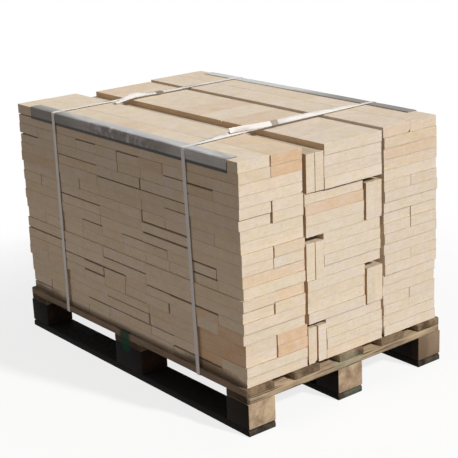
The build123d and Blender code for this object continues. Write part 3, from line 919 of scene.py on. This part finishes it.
class FoldProtectors(bpy.types.Operator):
    """Fold the two grey corner boards over the long top edges"""

    bl_idname = "tile_pallet.fold_protectors"
    bl_label = "Fold protectors"

    def execute(self, context):
        look = context.scene.binding_look
        material = laminated_greyboard(look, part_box("edge_protector_left")[0].z)
        strap_places = [sum(box.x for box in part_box(f"strap_{row}")) / 2 for row in STRAPS]
        for side in ("left", "right"):
            node = f"edge_protector_{side}"
            draw = random.Random(node)
            shape = copy_of_node(node)
            cut_across(shape, 0, PROTECTOR_CUTS)
            core = shape.faces.layers.float.new("core")
            low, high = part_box(node)
            for face in shape.faces:
                face[core] = float(abs(face.normal.x) > 0.9)
            sway = random_place(draw, 50)
            for vert in shape.verts:
                place = Vector((vert.co.x / WAVE_LENGTH, vert.co.y / WAVE_WIDTH, vert.co.z / WAVE_WIDTH))
                wave = noise.noise_vector(place + sway) * look.board_waviness
                pressed = max(math.exp(-((vert.co.x - strap) / DENT) ** 2) for strap in strap_places)
                moved = vert.co + Vector((0.0, wave.y, wave.z)) - Vector((0.0, 0.0, pressed * look.strap_press))
                vert.co = kept_inside(moved, low, high)
            smooth_by_angle(finish_piece(f"corner_board_{side}", shape, material, [node]), 35)
        return {"FINISHED"}


def plastic_band(look):
    """Extruded polypropylene strapping: white, slightly waxy, with a fine embossed cross-hatch."""
    material, tree, shader = start_material("White polypropylene band")
    here = add_node(tree, "TexCoord").outputs["Object"]
    # Embossing about 3 mm apart, coarser than the real 1 mm so that it shows
    diamonds = add_node(tree, "TexVoronoi", {"Vector": here, "Scale": 1 / (3 * MM), "Randomness": 0.1})
    dirt = add_node(tree, "TexNoise", {"Vector": here, "Scale": 1 / (70 * MM), "Detail": 4.0})
    dirt_and_shading_share = add_node(
        tree, "MapRange", {"Value": dirt.outputs["Fac"], "From Min": 0.5, "From Max": 0.8, "To Max": 0.25}
    )
    dirtied = {"Factor": dirt_and_shading_share.outputs["Result"], FIRST_COLOUR: look.strap, SECOND_COLOUR: look.strap_dirty}
    colour = add_node(tree, "Mix", dirtied, data_type="RGBA")
    tree.links.new(colour.outputs[BLENDED_COLOUR], shader.inputs["Base Color"])
    shader.inputs["Roughness"].default_value = 0.38
    shader.inputs["IOR"].default_value = 1.49
    bump = add_node(tree, "Bump", {"Height": diamonds.outputs["Distance"], "Strength": 0.25, "Distance": 0.2 * MM})
    tree.links.new(bump.outputs["Normal"], shader.inputs["Normal"])
    return material


class ThreadStraps(bpy.types.Operator):
    """Thread the two white bands round the load"""

    bl_idname = "tile_pallet.thread_straps"
    bl_label = "Thread straps"

    def execute(self, context):
        material = plastic_band(context.scene.binding_look)
        for row in STRAPS:
            shape = copy_of_node(f"strap_{row}")
            smooth_by_angle(finish_piece(f"band_{row}", shape, material, [f"strap_{row}"]), 50)
        return {"FINISHED"}


def zinc_sheet(look):
    """Zinc-plated steel sheet: dull grey metal, half matt, with fine rolling lines across the seal."""
    material, tree, shader = start_material("Zinc-plated steel seal")
    here = add_node(tree, "TexCoord").outputs["Object"]
    # Rolling lines 0.8 mm wide and 20 mm long
    lines = noise_of_sizes(tree, here, (0.8, 20, 0.8), 2.0)
    matt = add_node(tree, "MapRange", {"Value": lines, "To Min": 0.35, "To Max": 0.6})
    shader.inputs["Base Color"].default_value = look.seal
    shader.inputs["Metallic"].default_value = 0.8
    tree.links.new(matt.outputs["Result"], shader.inputs["Roughness"])
    bump = add_node(tree, "Bump", {"Height": lines, "Strength": 0.3, "Distance": 0.1 * MM})
    tree.links.new(bump.outputs["Normal"], shader.inputs["Normal"])
    return material


class CrimpSeals(bpy.types.Operator):
    """Crimp the two metal seals on the lapped strap ends"""

    bl_idname = "tile_pallet.crimp_seals"
    bl_label = "Crimp seals"

    def execute(self, context):
        material = zinc_sheet(context.scene.binding_look)
        for row in STRAPS:
            shape = copy_of_node(f"seal_{row}")
            smooth_by_angle(finish_piece(f"crimped_seal_{row}", shape, material, [f"seal_{row}"]), 40)
        return {"FINISHED"}


def seen_share(tree):
    """1 for what the camera, a reflection or glass shows, 0 for what only gives light."""
    path = add_node(tree, "LightPath")
    seen = path.outputs["Is Camera Ray"]
    for ray in ("Is Glossy Ray", "Is Transmission Ray"):
        seen = add_node(tree, "Math", {0: seen, 1: path.outputs[ray]}, operation="MAXIMUM").outputs["Value"]
    return seen


def floor_material(look):
    """A pale studio floor; 0.8 to 1.9 m from the middle it goes over into the white background."""
    material, tree, shader = start_material("Pale studio floor")
    seen = seen_share(tree)
    colours = {"Factor": seen, FIRST_COLOUR: look.ground, SECOND_COLOUR: look.floor}
    colour = add_node(tree, "Mix", colours, data_type="RGBA")
    tree.links.new(colour.outputs[BLENDED_COLOUR], shader.inputs["Base Color"])
    shader.inputs["Roughness"].default_value = 0.95
    shader.inputs["Specular IOR Level"].default_value = 0.0
    here = add_node(tree, "TexCoord").outputs["Object"]
    far = add_node(tree, "VectorMath", {0: here}, operation="LENGTH")
    away = add_node(
        tree, "MapRange",
        {"Value": far.outputs["Value"], "From Min": 0.8, "From Max": 1.9, "To Min": look.wash},
        interpolation_type="SMOOTHSTEP",
    )
    share = add_node(tree, "Math", {0: away.outputs["Result"], 1: seen}, operation="MULTIPLY")
    white = add_node(tree, "Emission", {"Color": linear("FFFFFF"), "Strength": 1.0})
    blend = add_node(
        tree, "MixShader", {0: share.outputs["Value"], 1: shader.outputs["BSDF"], 2: white.outputs["Emission"]}
    )
    tree.links.new(blend.outputs["Shader"], tree.nodes["Material Output"].inputs["Surface"])
    return material


def add_sun(name, azimuth, elevation, strength, softness, colour=(1.0, 1.0, 1.0)):
    """A distant soft lamp; azimuth is where it stands, turned from +X towards +Y."""
    lamp = bpy.data.lights.new(name, "SUN")
    lamp.color = colour
    lamp.energy = strength
    lamp.angle = softness
    turn = math.radians(azimuth)
    rise = math.radians(elevation)
    towards = Vector((math.cos(turn) * math.cos(rise), math.sin(turn) * math.cos(rise), math.sin(rise)))
    holder = bpy.data.objects.new(name, lamp)
    holder.rotation_mode = "QUATERNION"
    holder.rotation_quaternion = towards.to_track_quat("Z", "Y")
    holder.location = towards * 5.0
    bpy.context.scene.collection.objects.link(holder)


def add_camera(look):
    """The photograph's view: azimuth 51.7 degrees, elevation 17.5 degrees, rolled a little."""
    azimuth = math.radians(51.726)
    elevation = math.radians(17.505)
    roll = math.radians(-2.355)
    target = Vector((18.67, 14.96, 400.0)) * MM
    back = Vector((
        math.sin(azimuth) * math.cos(elevation),
        -math.cos(azimuth) * math.cos(elevation),
        math.sin(elevation),
    ))
    level = Vector((0.0, 0.0, 1.0)).cross(back).normalized()
    upright = back.cross(level)
    right = level * math.cos(roll) + upright * math.sin(roll)
    up = upright * math.cos(roll) - level * math.sin(roll)
    camera = bpy.data.objects.new("camera", bpy.data.cameras.new("camera"))
    camera.data.lens = look.focal
    camera.data.sensor_width = 36.0
    turned = Matrix((right, up, back)).transposed().to_4x4()
    camera.matrix_world = Matrix.Translation(target + back * look.distance) @ turned
    bpy.context.scene.collection.objects.link(camera)
    bpy.context.scene.camera = camera


def light_world(look):
    """Even sky light, with a white background for the camera and for reflections."""
    world = bpy.data.worlds.new("studio")
    world.use_nodes = True
    bpy.context.scene.world = world
    tree = world.node_tree
    seen = seen_share(tree)
    strength = add_node(tree, "MapRange", {"Value": seen, "To Min": look.sky_strength, "To Max": 1.0})
    colours = {"Factor": seen, FIRST_COLOUR: look.sky, SECOND_COLOUR: linear("FFFFFF")}
    colour = add_node(tree, "Mix", colours, data_type="RGBA")
    background = tree.nodes["Background"]
    tree.links.new(colour.outputs[BLENDED_COLOUR], background.inputs["Color"])
    tree.links.new(strength.outputs["Result"], background.inputs["Strength"])


class SetStage(bpy.types.Operator):
    """Set the floor, the lights and the camera"""

    bl_idname = "tile_pallet.set_stage"
    bl_label = "Set stage"

    def execute(self, context):
        look = context.scene.stage_look
        shape = bmesh.new()
        bmesh.ops.create_grid(shape, x_segments=8, y_segments=8, size=FLOOR_REACH)
        mesh = bpy.data.meshes.new("floor")
        shape.to_mesh(mesh)
        shape.free()
        mesh.materials.append(floor_material(look))
        floor = bpy.data.objects.new("floor", mesh)
        context.scene.collection.objects.link(floor)
        add_sun("key", azimuth=17.0, elevation=38.5, strength=look.key_strength, softness=look.key_softness)
        add_sun(
            "fill", azimuth=-90.0, elevation=25.0, strength=look.fill_strength,
            softness=math.radians(60.0), colour=look.fill[:3],
        )
        light_world(look)
        add_camera(look)
        context.scene.view_settings.view_transform = "Standard"
        return {"FINISHED"}


class TilePalletPanel(bpy.types.Panel):
    """Lists the pieces of the pallet load"""

    bl_idname = "VIEW3D_PT_tile_pallet"
    bl_label = "Pallet of fireclay tiles"
    bl_space_type = "VIEW_3D"
    bl_region_type = "UI"
    bl_category = "Tile pallet"

    def draw(self, context):
        for operator in OPERATORS:
            self.layout.operator(operator.bl_idname)
        for look in LOOKS:
            group = getattr(context.scene, look)
            box = self.layout.box()
            box.label(text=group.bl_rna.name)
            for name in group.__annotations__:
                box.prop(group, name)


LOOKS = {
    "tile_look": TileLook,
    "wood_look": WoodLook,
    "binding_look": BindingLook,
    "stage_look": StageLook,
}
OPERATORS = (
    SetStage,
    SawSkids,
    SetBlocks,
    SawCrossBoards,
    SawDeckBoards,
    DriveNails,
    LayFlatTiles,
    StandUprightTiles,
    FoldProtectors,
    ThreadStraps,
    CrimpSeals,
)


def register():
    """Registers the classes and gives the scene its groups of sizes and colours."""
    for one in (*LOOKS.values(), *OPERATORS, TilePalletPanel):
        bpy.utils.register_class(one)
    for name, group in LOOKS.items():
        setattr(bpy.types.Scene, name, PointerProperty(type=group))


def unregister():
    """Takes back what register gave."""
    for name in LOOKS:
        delattr(bpy.types.Scene, name)
    for one in (TilePalletPanel, *reversed(OPERATORS), *reversed(LOOKS.values())):
        bpy.utils.unregister_class(one)


def main():
    """Builds every piece."""
    register()
    for operator in OPERATORS:
        group, action = operator.bl_idname.split(".")
        getattr(getattr(bpy.ops, group), action)()


if __name__ == "__main__":
    main()
